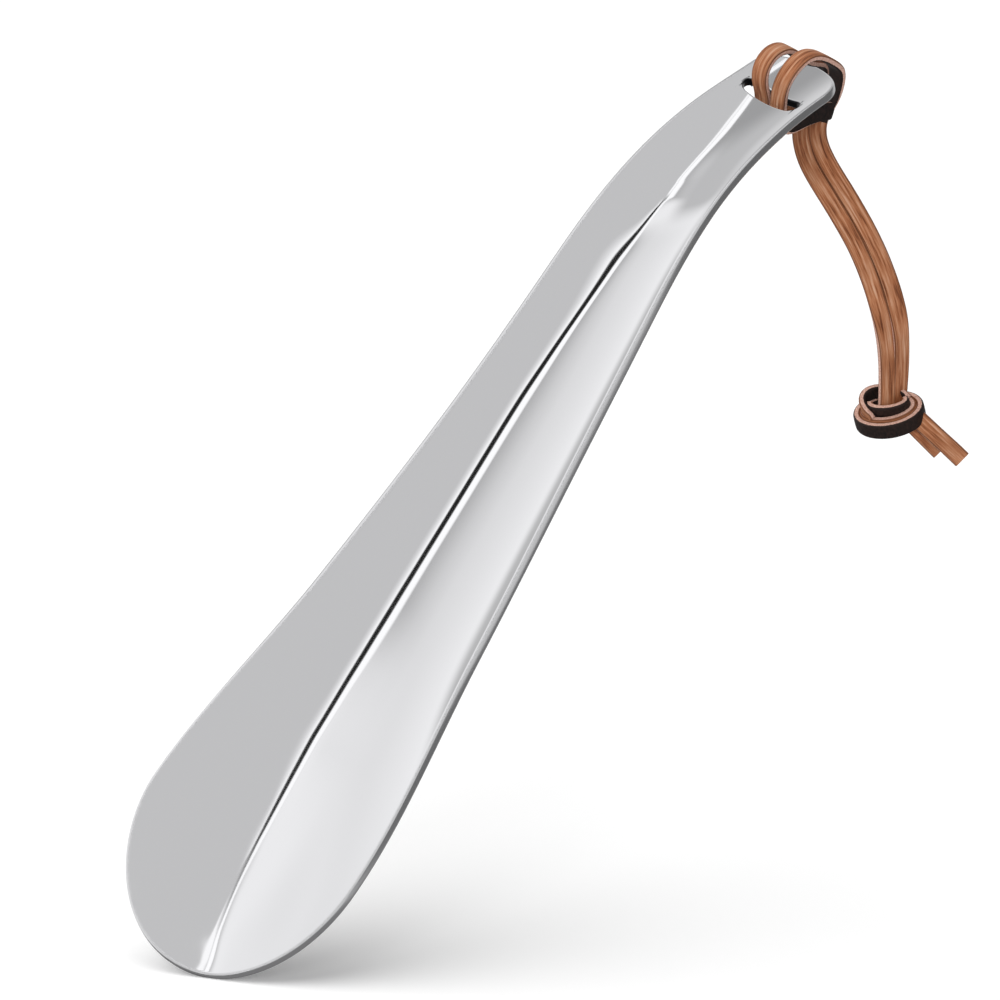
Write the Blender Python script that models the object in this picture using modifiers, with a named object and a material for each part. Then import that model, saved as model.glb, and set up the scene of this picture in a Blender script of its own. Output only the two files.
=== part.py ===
"""Polished steel hand shoehorn with a flat leather lace hitched through the hole in its handle."""

import math

import bmesh
import bpy
from mathutils import Matrix, Vector

# Blade: lengths run along the trough, from the tip or from the handle end
blade_length = 0.1994
sheet = 0.0016
edge_round = 0.0005
bowl_width = 0.0442
bowl_from_tip = 0.0255
throat_width = 0.0333
throat_from_tip = 0.0700
shaft_width = 0.0249
shaft_from_end = 0.0879
neck_width = 0.0199
neck_from_end = 0.0534
waist_width = 0.0170
waist_from_end = 0.0274
end_width = 0.0157
end_round = 0.0085

# Depth of the trough below its rims
tip_depth = 0.0033
bowl_depth = 0.0060
throat_depth = 0.0080
shaft_depth = 0.0060
neck_depth = 0.0044
waist_depth = 0.0030
end_depth = 0.0020

# Side profile: the rims bow a little, then the handle end bends back
bow = 0.0032
bend_from_end = 0.0652
bend_length = 0.0561
bend_angle = math.radians(42)

# Slot for the lace, lying across the handle
slot_length = 0.0116
slot_width = 0.0032
slot_from_end = 0.0130

# How the shoehorn is held: the place of the hand and the lean of the blade
grip_from_end = 0.0809
lean_right = math.radians(33)
lean_back = math.radians(17)
turn_left = math.radians(25)

# Lace: one flat strip of leather, doubled
lace_width = 0.0028
lace_thickness = 0.0012
lace_edge = 0.0002
stretch_gap = 0.0004
knot_size = (0.0124, 0.0090, 0.0096)

# Fineness of the surfaces
row_step = 0.0045
bend_row_step = 0.0027
columns = 14
round_rows = 10
lace_steps = 4
nudge = 0.01
slot_sides = 40
profile_steps = 800

steel_colour = (0.78, 0.78, 0.79, 1.0)
leather_colour = (0.48, 0.20, 0.08, 1.0)

mm = 0.001


def smooth_through(stops, at):
    """Value of a curve through the stops that never overshoots them."""
    if at <= stops[0][0]:
        return stops[0][1]
    if at >= stops[-1][0]:
        return stops[-1][1]
    slopes = [(b[1] - a[1]) / (b[0] - a[0]) for a, b in zip(stops, stops[1:])]
    leans = [0.0]
    for before, after in zip(slopes, slopes[1:]):
        same_way = before * after > 0
        leans.append(2 * before * after / (before + after) if same_way else 0.0)
    leans.append(0.0)
    index = max(i for i in range(len(slopes)) if stops[i][0] <= at)
    (start, first), (stop, second) = stops[index], stops[index + 1]
    span = stop - start
    x = (at - start) / span
    rise = 3 * x**2 - 2 * x**3
    bulge = leans[index] * (x**3 - 2 * x**2 + x) + leans[index + 1] * (x**3 - x**2)
    return first + (second - first) * rise + span * bulge


width_stops = [
    (bowl_from_tip, bowl_width),
    (throat_from_tip, throat_width),
    (blade_length - shaft_from_end, shaft_width),
    (blade_length - neck_from_end, neck_width),
    (blade_length - waist_from_end, waist_width),
    (blade_length - end_round, end_width),
]
depth_stops = [
    (0.0, tip_depth),
    (bowl_from_tip, bowl_depth),
    (throat_from_tip, throat_depth),
    (blade_length - shaft_from_end, shaft_depth),
    (blade_length - neck_from_end, neck_depth),
    (blade_length - waist_from_end, waist_depth),
    (blade_length - end_round, end_depth),
]


def full_half_width(along):
    return smooth_through(width_stops, along) / 2


def half_width(along):
    """Half the width of the outline, rounded at the tip and at the handle end."""
    short = 0.0
    if along < bowl_from_tip:
        short = 1 - along / bowl_from_tip
    elif along > blade_length - end_round:
        short = 1 - (blade_length - along) / end_round
    return full_half_width(along) * math.sqrt(1 - min(short, 1.0) ** 2)


def trough_radius(along):
    half = full_half_width(along)
    depth = smooth_through(depth_stops, along)
    return (half**2 + depth**2) / (2 * depth)


def lean_of_profile(along):
    """Angle of the side profile, positive where it runs backwards."""
    bend_start = blade_length - bend_from_end
    bow_angle = 4 * bow / bend_start
    if along < bend_start:
        return bow_angle * (1 - 2 * along / bend_start)
    part = min((along - bend_start) / bend_length, 1.0)
    return bend_angle * (3 * part**2 - 2 * part**3) - bow_angle


def profile_table():
    """Places (back, up) of the rims' middle line at even steps from the tip."""
    step = blade_length / profile_steps
    places = [Vector((0.0, 0.0))]
    for index in range(profile_steps):
        angle = lean_of_profile((index + 0.5) * step)
        places.append(places[-1] + step * Vector((math.sin(angle), math.cos(angle))))
    return places


profile = profile_table()


def profile_place(along):
    index = min(max(along / blade_length, 0.0), 1.0) * profile_steps
    low = min(int(index), profile_steps - 1)
    return profile[low].lerp(profile[low + 1], index - low)


def directions(along):
    """Unit vectors along the blade and out of its concave side, in the blade's own frame."""
    angle = lean_of_profile(along)
    outward = Vector((0.0, math.sin(angle), math.cos(angle)))
    facing = Vector((0.0, -math.cos(angle), math.sin(angle)))
    return outward, facing


def trough_point(along, angle):
    """Point of the concave face at an angle round the trough, before the grip is set as origin."""
    facing = directions(along)[1]
    back, up = profile_place(along)
    radius = trough_radius(along)
    depth = smooth_through(depth_stops, along)
    rise = radius * (1 - math.cos(angle)) - depth
    return Vector((radius * math.sin(angle), back, up)) + rise * facing


grip_point = trough_point(blade_length - grip_from_end, 0.0)


def blade_point(along, angle):
    return trough_point(along, angle) - grip_point


def row_places():
    """Places of the rows along the blade, closer together where the outline or profile turns."""
    first = math.radians(5)
    turns = [first + (math.pi / 2 - first) * i / round_rows for i in range(round_rows + 1)]
    places = [bowl_from_tip * (1 - math.cos(turn)) for turn in turns]
    runs = (
        (blade_length - bend_from_end, row_step),
        (blade_length - end_round, bend_row_step),
    )
    for stop, step in runs:
        start = places[-1]
        count = max(1, math.ceil((stop - start) / step))
        places += [start + (stop - start) * (i + 1) / count for i in range(count)]
    places += [blade_length - end_round * (1 - math.cos(turn)) for turn in reversed(turns[:-1])]
    return places


def clear_scene():
    for thing in list(bpy.data.objects):
        bpy.data.objects.remove(thing, do_unlink=True)


def new_collection(name):
    collection = bpy.data.collections.new(name)
    bpy.context.scene.collection.children.link(collection)
    return collection


def new_material(name, colour, roughness, metallic):
    material = bpy.data.materials.new(name)
    material.use_nodes = True
    shader = material.node_tree.nodes["Principled BSDF"]
    shader.inputs["Base Color"].default_value = colour
    shader.inputs["Roughness"].default_value = roughness
    shader.inputs["Metallic"].default_value = metallic
    material.diffuse_color = colour
    return material


def new_object(name, mesh, collection, material=None):
    made = bpy.data.objects.new(name, mesh)
    collection.objects.link(made)
    if material:
        mesh.materials.append(material)
    return made


def grid_mesh(name, rows):
    """Open surface through rows of points that all have the same count."""
    shape = bmesh.new()
    corners = [[shape.verts.new(point) for point in row] for row in rows]
    for low, high in zip(corners, corners[1:]):
        for i in range(len(low) - 1):
            shape.faces.new((low[i], low[i + 1], high[i + 1], high[i]))
    mesh = bpy.data.meshes.new(name)
    shape.to_mesh(mesh)
    shape.free()
    mesh.shade_smooth()
    return mesh


def add_wall(thing, thickness, offset):
    wall = thing.modifiers.new("Wall", "SOLIDIFY")
    wall.thickness = thickness
    wall.offset = offset
    wall.use_even_offset = True


def add_edge_round(thing, width):
    edge = thing.modifiers.new("Edge", "BEVEL")
    edge.width = width
    edge.segments = 2
    edge.limit_method = "ANGLE"
    edge.angle_limit = math.radians(50)


def blade_matrix():
    """Lean and turn of the blade in the hand."""
    turn = Matrix.Rotation(-turn_left, 4, "Z")
    right = Matrix.Rotation(lean_right, 4, "Y")
    back = Matrix.Rotation(-lean_back, 4, "X")
    return back @ right @ turn


def make_slot_cutter(cutters):
    """Round bar pulled apart into the shape of the slot."""
    bpy.ops.mesh.primitive_cylinder_add(
        vertices=slot_sides, radius=slot_width / 2, depth=2 * slot_width
    )
    cutter = bpy.context.object
    cutter.name = "slot_cutter"
    for holder in cutter.users_collection:
        holder.objects.unlink(cutter)
    cutters.objects.link(cutter)
    cutter.hide_render = True
    cutter.display_type = "WIRE"
    half_step = math.pi / slot_sides
    cutter.data.transform(Matrix.Rotation(half_step, 4, "Z"))
    pull = (slot_length - slot_width) / 2
    for vertex in cutter.data.vertices:
        vertex.co.x += math.copysign(pull, vertex.co.x)
    return cutter


def make_blade(parts, cutters, steel):
    rows = []
    for along in row_places():
        reach = math.asin(half_width(along) / trough_radius(along))
        angles = [reach * (2 * i / columns - 1) for i in range(columns + 1)]
        rows.append([blade_point(along, angle) for angle in angles])
    blade = new_object("blade", grid_mesh("blade", rows), parts, steel)
    add_wall(blade, sheet, -1.0)
    add_edge_round(blade, edge_round)

    slot_at = blade_length - slot_from_end
    facing = directions(slot_at)[1]
    cutter = make_slot_cutter(cutters)
    place = Matrix.Translation(blade_point(slot_at, 0.0))
    cutter.matrix_world = blade_matrix() @ place @ facing.to_track_quat("Z", "Y").to_matrix().to_4x4()

    blade.matrix_world = blade_matrix()
    cut = blade.modifiers.new("Slot", "BOOLEAN")
    cut.operation = "DIFFERENCE"
    cut.object = cutter
    return blade


def bar_frame():
    """Middle of the bar between the slot and the handle end, with its own axes, in the world."""
    bar = slot_from_end - slot_width / 2
    along = blade_length - bar / 2
    outward, facing = directions(along)
    middle = blade_point(along, 0.0) - facing * sheet / 2
    turned = blade_matrix().to_3x3()
    return turned @ middle, turned @ Vector((1, 0, 0)), turned @ outward, turned @ facing


bar_middle, bar_side, bar_out, bar_facing = bar_frame()


def by_bar(side, out, facing):
    """World place from millimetres along the bar, out past the end and off the concave face."""
    return bar_middle + mm * (side * bar_side + out * bar_out + facing * bar_facing)


def below_bar(right, back, up):
    """World place from millimetres to the right, to the back and up from the bar's middle."""
    return bar_middle + mm * Vector((right, back, up))


# The lace's route, one smooth line from the short tail round the hitch to the long tail
short_tail = [below_bar(26.2, 3.5, -65.8), below_bar(24.2, 3.5, -63.8), below_bar(22.3, 3.4, -61.9)]
right_strand = [
    below_bar(19.0, 3.8, -53.3),
    below_bar(19.1, 3.6, -45.1),
    below_bar(18.1, 3.4, -39.4),
    below_bar(16.3, 3.7, -33.6),
    below_bar(13.8, 4.0, -28.0),
    below_bar(10.8, 4.3, -22.5),
    below_bar(7.3, 4.6, -16.9),
    below_bar(4.1, 5.0, -11.4),
]
right_loop = [
    by_bar(2.6, 3.6, -8.3),
    by_bar(3.1, 5.5, -5.6),
    by_bar(3.4, 6.8, -3.0),
    by_bar(3.6, 7.0, -0.4),
    by_bar(3.8, 6.3, 2.2),
    by_bar(3.8, 4.4, 4.3),
    by_bar(3.6, 1.4, 7.0),
    by_bar(3.2, -1.1, 8.5),
    by_bar(2.8, -3.5, 8.6),
    by_bar(2.3, -5.5, 7.2),
    by_bar(1.9, -7.0, 4.8),
    by_bar(1.75, -7.4, 2.4),
    by_bar(1.7, -7.3, 0.2),
    by_bar(1.7, -7.3, -2.4),
]
bight = [
    by_bar(1.75, -7.1, -4.0),
    by_bar(2.0, -5.0, -5.6),
    by_bar(2.3, -2.0, -6.5),
    by_bar(3.3, 1.5, -7.0),
    by_bar(5.2, 3.9, -8.0),
    by_bar(4.0, 5.4, -9.2),
    by_bar(1.1, 5.0, -9.6),
    by_bar(-1.7, 3.5, -9.2),
    by_bar(-2.5, 1.2, -7.8),
    by_bar(-2.4, -1.8, -6.9),
    by_bar(-2.1, -4.7, -5.7),
    by_bar(-1.75, -7.1, -4.0),
]
left_loop = [
    by_bar(-1.7, -7.3, -2.4),
    by_bar(-1.7, -7.3, 0.2),
    by_bar(-1.75, -8.1, 2.6),
    by_bar(-1.9, -8.6, 4.9),
    by_bar(-2.0, -8.0, 7.0),
    by_bar(-2.0, -6.5, 8.3),
    by_bar(-1.8, -4.5, 8.8),
    by_bar(-1.4, -2.1, 8.1),
    by_bar(-1.0, -0.4, 6.3),
    by_bar(-0.5, 1.4, 4.4),
    by_bar(0.0, 3.6, 3.0),
    by_bar(0.4, 6.0, 1.9),
    by_bar(0.5, 6.8, -0.4),
    by_bar(0.3, 6.2, -3.0),
    by_bar(0.0, 4.4, -5.8),
    by_bar(-0.2, 2.4, -8.1),
]
left_strand = [
    below_bar(1.3, 5.0, -12.9),
    below_bar(4.6, 4.6, -18.4),
    below_bar(8.0, 4.3, -23.9),
    below_bar(11.1, 4.0, -29.4),
    below_bar(13.4, 3.7, -34.8),
    below_bar(15.1, 3.4, -40.2),
    below_bar(16.2, 2.6, -45.5),
    below_bar(16.6, 2.0, -53.0),
]
long_tail = [
    below_bar(22.9, 1.9, -60.4),
    below_bar(25.3, 1.8, -62.6),
    below_bar(27.7, 1.8, -64.8),
    below_bar(30.0, 1.8, -67.0),
]
knot_middle = below_bar(16.9, 2.8, -58.2)

# The two strands hang from the hitch and swing about the line through their upper ends
hitch_middle = (right_loop[0] + left_loop[-1]) / 2

# Directions across the lace's flat face
across_hang = Vector((0.88, 0.0, 0.47))
across_knot = Vector((0.84, 0.54, 0.0))
across_tail = Vector((0.73, 0.0, 0.68))
across_turn = 0.92 * bar_side + 0.39 * bar_out - 0.08 * bar_facing
across_bight = 0.17 * bar_side - 0.56 * bar_out - 0.81 * bar_facing
across_leg = bar_side + across_bight


def curve_point(points, place):
    """Point of a smooth curve through the points, place counted in points."""
    last = len(points) - 1
    index = min(int(place), last - 1)
    x = place - index
    before = points[max(index - 1, 0)]
    start = points[index]
    stop = points[index + 1]
    after = points[min(index + 2, last)]
    lean_in = (stop - before) / 2 if index else stop - start
    lean_out = (after - start) / 2 if index + 2 <= last else stop - start
    return (
        start * (2 * x**3 - 3 * x**2 + 1)
        + lean_in * (x**3 - 2 * x**2 + x)
        + stop * (3 * x**2 - 2 * x**3)
        + lean_out * (x**3 - x**2)
    )


def ribbon_rows(points, acrosses, start, stop):
    """Pairs of edge points of a flat strip along part of a smooth curve through the points."""
    count = (stop - start) * lace_steps
    rows = []
    for i in range(count + 1):
        place = start + i / lace_steps
        point = curve_point(points, place)
        along = curve_point(points, place + nudge) - curve_point(points, place - nudge)
        along.normalize()
        side = curve_point(acrosses, place)
        side = (side - side.dot(along) * along).normalized()
        if i == 0:
            point = point + along * stretch_gap / 2
        elif i == count:
            point = point - along * stretch_gap / 2
        rows.append((point - side * lace_width / 2, point + side * lace_width / 2))
    return rows


def make_ribbon(name, rows, parts, leather, pivot=None):
    ribbon = new_object(name, grid_mesh(name, rows), parts, leather)
    add_wall(ribbon, lace_thickness, 0.0)
    add_edge_round(ribbon, lace_edge)
    if pivot:
        hang_on(ribbon, pivot)


def hang_on(thing, pivot):
    """Parents a piece, modelled in the world, to the pivot in the hitch."""
    thing.data.transform(Matrix.Translation(-pivot.location))
    thing.parent = pivot


def make_knot(parts, leather, pivot):
    bpy.ops.mesh.primitive_uv_sphere_add(segments=20, ring_count=12, radius=0.5)
    knot = bpy.context.object
    knot.name = "lace_knot"
    for holder in knot.users_collection:
        holder.objects.unlink(knot)
    parts.objects.link(knot)
    knot.data.transform(Matrix.Translation(knot_middle) @ Matrix.Diagonal((*knot_size, 1.0)))
    knot.data.materials.append(leather)
    knot.data.shade_smooth()
    hang_on(knot, pivot)


def make_lace(parts, leather):
    pivot = bpy.data.objects.new("strap_pivot", None)
    pivot.location = hitch_middle
    parts.objects.link(pivot)
    hang = [across_knot] * 2 + [across_hang] * (len(right_strand) - 2)
    near_loop = [across_turn] * 2 + [bar_side] * (len(right_loop) - 2)
    leg = [bar_side, across_leg, across_leg]
    ring = leg + [across_bight] * (len(bight) - 2 * len(leg)) + leg[::-1]
    far_loop = [bar_side] * (len(left_loop) - 2) + [across_turn] * 2
    line = right_strand + right_loop + bight + left_loop + left_strand
    acrosses = hang + near_loop + ring + far_loop + hang[::-1]
    start = 0
    stretches = (
        ("lace_strand_right", len(right_strand), pivot),
        ("lace_loop_right", len(right_loop) - 1, None),
        ("lace_bight", len(bight) + 1, None),
        ("lace_loop_left", len(left_loop) - 1, None),
        ("lace_strand_left", len(left_strand), pivot),
    )
    for name, length, hung_on in stretches:
        make_ribbon(name, ribbon_rows(line, acrosses, start, start + length), parts, leather, hung_on)
        start += length
    for name, tail in (("lace_tail_short", short_tail), ("lace_tail_long", long_tail)):
        rows = ribbon_rows(tail, [across_tail] * len(tail), 0, len(tail) - 1)
        make_ribbon(name, rows, parts, leather, pivot)
    make_knot(parts, leather, pivot)


def main():
    clear_scene()
    parts = new_collection("hand_shoehorn")
    cutters = new_collection("cutters")
    steel = new_material("polished_steel", steel_colour, 0.12, 1.0)
    leather = new_material("leather", leather_colour, 0.6, 0.0)
    make_blade(parts, cutters, steel)
    make_lace(parts, leather)


main()
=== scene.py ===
import math

import bmesh
import bpy
from mathutils import Matrix, Vector, noise


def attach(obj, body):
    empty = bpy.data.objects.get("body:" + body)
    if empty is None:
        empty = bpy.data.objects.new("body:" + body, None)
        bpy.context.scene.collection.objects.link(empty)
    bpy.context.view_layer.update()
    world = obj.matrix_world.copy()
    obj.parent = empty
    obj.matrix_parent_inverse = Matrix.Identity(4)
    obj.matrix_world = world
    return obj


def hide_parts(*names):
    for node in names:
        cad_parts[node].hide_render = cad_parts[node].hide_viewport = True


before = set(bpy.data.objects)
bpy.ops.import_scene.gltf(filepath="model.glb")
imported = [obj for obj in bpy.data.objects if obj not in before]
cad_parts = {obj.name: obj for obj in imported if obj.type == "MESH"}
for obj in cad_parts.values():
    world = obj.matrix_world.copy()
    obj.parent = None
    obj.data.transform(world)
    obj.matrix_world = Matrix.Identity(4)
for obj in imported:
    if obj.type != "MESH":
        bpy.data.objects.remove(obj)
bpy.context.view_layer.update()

mm = 0.001
scene = bpy.context.scene
scene.view_settings.view_transform = "Standard"


# camera: 10 degrees above the floor, 0.172 mm to a pixel at the grip
view = {
    "place": (-0.01032, -0.98824, 0.15417),
    "tilt": 80,
    "lens": 209.3,
    "sensor": 36,
    "clipEnd": 20,
}
bpy.ops.object.camera_add(location=view["place"], rotation=(math.radians(view["tilt"]), 0, 0))
camera = bpy.context.object
camera.data.lens = view["lens"]
camera.data.sensor_width = view["sensor"]
camera.data.clip_end = view["clipEnd"]
scene.camera = camera
print("camera set")


def hexColour(text):
    # sRGB hex to the linear values that Blender's sockets take
    parts = [int(text[i:i + 2], 16) / 255 for i in (0, 2, 4)]
    return (*[p / 12.92 if p <= 0.04045 else ((p + 0.055) / 1.055) ** 2.4 for p in parts], 1.0)


def addNode(tree, kind, settings=None, values=None, links=None):
    # one node with its settings, its socket values and the outputs that feed it
    node = tree.nodes.new(kind)
    for key, value in (settings or {}).items():
        setattr(node, key, value)
    for key, value in (values or {}).items():
        node.inputs[key].default_value = value
    for key, output in (links or {}).items():
        tree.links.new(output, node.inputs[key])
    return node


def setRamp(node, stops):
    # colour ramp from pairs of place and colour
    ramp = node.color_ramp
    while len(ramp.elements) > len(stops):
        ramp.elements.remove(ramp.elements[-1])
    while len(ramp.elements) < len(stops):
        ramp.elements.new(1.0)
    for element, (place, colour) in zip(ramp.elements, stops):
        element.position = place
        element.color = colour


def setCurve(node, stops, ends, top, handle=None):
    # float curve from pairs of place and value, for places between the two ends and values up to the top
    first, last = ends
    curve = node.mapping.curves[0]
    curve.points[0].location = (0.0, stops[0][1] / top)
    curve.points[1].location = (1.0, stops[-1][1] / top)
    for place, value in stops:
        if first < place < last:
            point = curve.points.new((place - first) / (last - first), value / top)
            if handle:
                point.handle_type = handle
    node.mapping.update()


def newMaterial(name):
    material = bpy.data.materials.new(name)
    material.use_nodes = True
    return material, material.node_tree, material.node_tree.nodes["Principled BSDF"]


def meshObject(name, shape, material):
    mesh = bpy.data.meshes.new(name)
    shape.to_mesh(mesh)
    shape.free()
    mesh.shade_smooth()
    mesh.materials.append(material)
    thing = bpy.data.objects.new(name, mesh)
    scene.collection.objects.link(thing)
    return thing


def onlySelect(thing):
    bpy.ops.object.select_all(action="DESELECT")
    thing.select_set(True)
    bpy.context.view_layer.objects.active = thing


# blade: pressed from one strip, the same curves as the solid but smooth
blade = {
    "length": 0.1994,
    "sheet": 0.0016,
    "edgeRound": 0.0005,
    "bow": 0.0032,
    "bendFromEnd": 0.0652,
    "bendLength": 0.0561,
    "bendAngle": math.radians(42),
    "bowlFromTip": 0.0255,
    "flankFromTip": 0.0700,
    "shaftFromEnd": 0.0879,
    "neckFromEnd": 0.0534,
    "handleFromEnd": 0.0274,
    "endRound": 0.0085,
    "gripFromEnd": 0.0809,
    "leanRight": math.radians(33),
    "leanBack": math.radians(17),
    "turnLeft": math.radians(25),
    "slotLength": 0.0116,
    "slotWidth": 0.0032,
    "slotFromEnd": 0.0130,
    "slotRound": 0.0004,
    "slotSides": 64,
    "slotSteps": 4,
    "slotCorner": math.radians(55),  # edges sharper than this are broken
    "slotClear": 0.003,  # between the edges looked at and the handle's end
    "slotHeight": 0.004,  # how far from the face the slot's wall is looked for
    "floorSunk": 0.13,  # of the extra bend and the half width
    "support": 0.00015,
    "columns": 72,
    "rowStep": 0.0011,
    "tipRows": 40,
    "endRows": 24,
    "endTurn": math.radians(2.5),  # from the very tip and end to the first and last row
    "edgeSteps": 5,
    "nudge": 0.00005,  # step that gives the slopes
    "smoothAngle": math.radians(40),
}
bladeEnd = blade["length"]
bowlAt, flankAt = blade["bowlFromTip"], blade["flankFromTip"]
shaftAt, neckAt = bladeEnd - blade["shaftFromEnd"], bladeEnd - blade["neckFromEnd"]
handleAt, roundAt = bladeEnd - blade["handleFromEnd"], bladeEnd - blade["endRound"]
# place along from the tip, with the width and the depth of the trough there
widthStops = [
    (bowlAt, 0.0442), (flankAt, 0.0333), (shaftAt, 0.0249), (neckAt, 0.0199),
    (handleAt, 0.0170), (roundAt, 0.0157),
]
depthStops = [
    (-bowlAt, 0.0008), (0.0, 0.0033), (bowlAt, 0.0058), (0.0450, 0.0071), (flankAt, 0.0080),
    (shaftAt, 0.0060), (neckAt, 0.0044), (handleAt, 0.0030), (roundAt, 0.0020),
]

# the trough's floor bends tighter than its flanks, along a line left of the middle at mid length:
# place along, arc from the middle in mm, extra bend in degrees
floorBend = [
    (0.0000, 7.6, 13), (0.0024, 6.9, 13), (0.0092, 3.3, 15), (0.0195, -0.2, 16), (0.0298, -2.05, 17),
    (0.0400, -3.7, 17), (0.0503, -5.1, 17), (0.0605, -6.2, 17), (0.0708, -6.7, 17), (0.0913, -6.5, 17),
    (0.1118, -6.1, 17), (0.1220, -4.9, 17), (0.1322, -3.2, 17), (0.1391, -2.0, 17), (0.1463, -1.3, 18),
    (0.1537, -1.7, 22), (0.1580, -2.2, 24), (0.1614, -1.9, 19), (0.1680, -1.4, 9), (0.1770, -1.0, 0),
    (0.1994, 0.0, 0),
]
floorRound = [(0.115, 0.0019), (0.140, 0.0013)]  # place along and how softly it bends
bendLine = [(along, arc * mm) for along, arc, bend in floorBend]
bendMore = [(along, math.radians(bend)) for along, arc, bend in floorBend]


def smoothThrough(stops, at):
    # curve through the stops that never overshoots them
    if at <= stops[0][0]:
        return stops[0][1]
    if at >= stops[-1][0]:
        return stops[-1][1]
    slopes = [(b[1] - a[1]) / (b[0] - a[0]) for a, b in zip(stops, stops[1:])]
    leans = [0.0]
    for before, after in zip(slopes, slopes[1:]):
        sameWay = before * after > 0
        leans.append(2 * before * after / (before + after) if sameWay else 0.0)
    leans.append(0.0)
    index = max(i for i in range(len(slopes)) if stops[i][0] <= at)
    (start, first), (stop, second) = stops[index], stops[index + 1]
    span = stop - start
    x = (at - start) / span
    rise = 3 * x**2 - 2 * x**3
    bulge = leans[index] * (x**3 - 2 * x**2 + x) + leans[index + 1] * (x**3 - x**2)
    return first + (second - first) * rise + span * bulge


def troughRadius(along):
    half = smoothThrough(widthStops, along) / 2
    depth = smoothThrough(depthStops, along)
    return (half**2 + depth**2) / (2 * depth)


def leanOfProfile(along):
    bendStart = bladeEnd - blade["bendFromEnd"]
    bowAngle = 4 * blade["bow"] / bendStart
    if along < bendStart:
        return bowAngle * (1 - 2 * along / bendStart)
    part = min((along - bendStart) / blade["bendLength"], 1.0)
    return blade["bendAngle"] * (3 * part**2 - 2 * part**3) - bowAngle


profileSteps = 800
profile = [Vector((0.0, 0.0))]
for i in range(profileSteps):
    lean = leanOfProfile((i + 0.5) * bladeEnd / profileSteps)
    profile.append(profile[-1] + bladeEnd / profileSteps * Vector((math.sin(lean), math.cos(lean))))


def profilePlace(along):
    index = along / bladeEnd * profileSteps
    low = min(max(int(index), 0), profileSteps - 1)
    return profile[low].lerp(profile[low + 1], index - low)


def bladeFacing(along):
    lean = leanOfProfile(along)
    return Vector((0.0, -math.cos(lean), math.sin(lean)))


def floorRise(arc, along):
    # what the tighter floor adds: nothing at the rims, two thirds of a millimetre at most between
    bend = smoothThrough(bendMore, along) / 2
    if bend < 1e-5:
        return 0.0
    radius = troughRadius(along)
    rimArc = radius * math.asin(smoothThrough(widthStops, along) / 2 / radius)
    line = smoothThrough(bendLine, along)
    away = arc - line
    side = rimArc - math.copysign(1.0, away) * line
    soft = smoothThrough(floorRound, along)
    sunk = -blade["floorSunk"] * bend * rimArc
    eased = soft * math.log(math.cosh(away / soft))
    atRim = soft * math.log(math.cosh(side / soft))
    return sunk + bend * eased - (sunk + bend * atRim) * (away / side) ** 2


def troughPoint(arc, along):
    # point of the concave face, arc measured round the trough from its middle
    back, up = profilePlace(along)
    radius = troughRadius(along)
    angle = arc / radius
    rise = radius * (1 - math.cos(angle)) - smoothThrough(depthStops, along)
    rise += floorRise(arc, along)
    return Vector((radius * math.sin(angle), back, up)) + rise * bladeFacing(along)


gripPoint = troughPoint(0.0, bladeEnd - blade["gripFromEnd"])
bladeTurn = (
    Matrix.Rotation(-blade["leanBack"], 4, "X")
    @ Matrix.Rotation(blade["leanRight"], 4, "Y")
    @ Matrix.Rotation(-blade["turnLeft"], 4, "Z")
)


def bladePoint(arc, along):
    return bladeTurn @ (troughPoint(arc, along) - gripPoint)


def bladeNormal(arc, along):
    # out of the concave face
    step = blade["nudge"]
    across = bladePoint(arc + step, along) - bladePoint(arc - step, along)
    up = bladePoint(arc, along + step) - bladePoint(arc, along - step)
    return across.cross(up).normalized()


def bladeOutline():
    # right-hand outline from tip to end as pairs of half width round the trough and place along
    first = blade["endTurn"]
    places = []
    for i in range(blade["tipRows"] + 1):
        turn = first + (math.pi / 2 - first) * i / blade["tipRows"]
        places.append((bowlAt * (1 - math.cos(turn)), math.sin(turn)))
    count = math.ceil((roundAt - bowlAt) / blade["rowStep"])
    places += [(bowlAt + (roundAt - bowlAt) * i / count, 1.0) for i in range(1, count)]
    for i in range(blade["endRows"] + 1):
        turn = math.pi / 2 - (math.pi / 2 - first) * i / blade["endRows"]
        places.append((bladeEnd - blade["endRound"] * (1 - math.cos(turn)), math.sin(turn)))
    outline = []
    for along, share in places:
        radius = troughRadius(along)
        half = smoothThrough(widthStops, along) / 2 * share
        outline.append((radius * math.asin(half / radius), along))
    return outline


def outlineNormals(outline):
    normals = []
    for i in range(len(outline)):
        before = outline[i - 1] if i else (-outline[0][0], outline[0][1])
        after = outline[i + 1] if i + 1 < len(outline) else (-outline[-1][0], outline[-1][1])
        run = Vector((after[0] - before[0], after[1] - before[1])).normalized()
        normals.append((run.y, -run.x))
    return normals


def edgeProfile():
    # inset from the outline and depth below the concave face, round the sheet's edge
    r = blade["edgeRound"]
    wall = blade["sheet"]
    turns = [math.pi / 2 * i / blade["edgeSteps"] for i in range(blade["edgeSteps"] + 1)]
    near = [(r - r * math.sin(t), r - r * math.cos(t)) for t in turns]
    far = [(inset, wall - depth) for inset, depth in reversed(near)]
    return near + far


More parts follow.
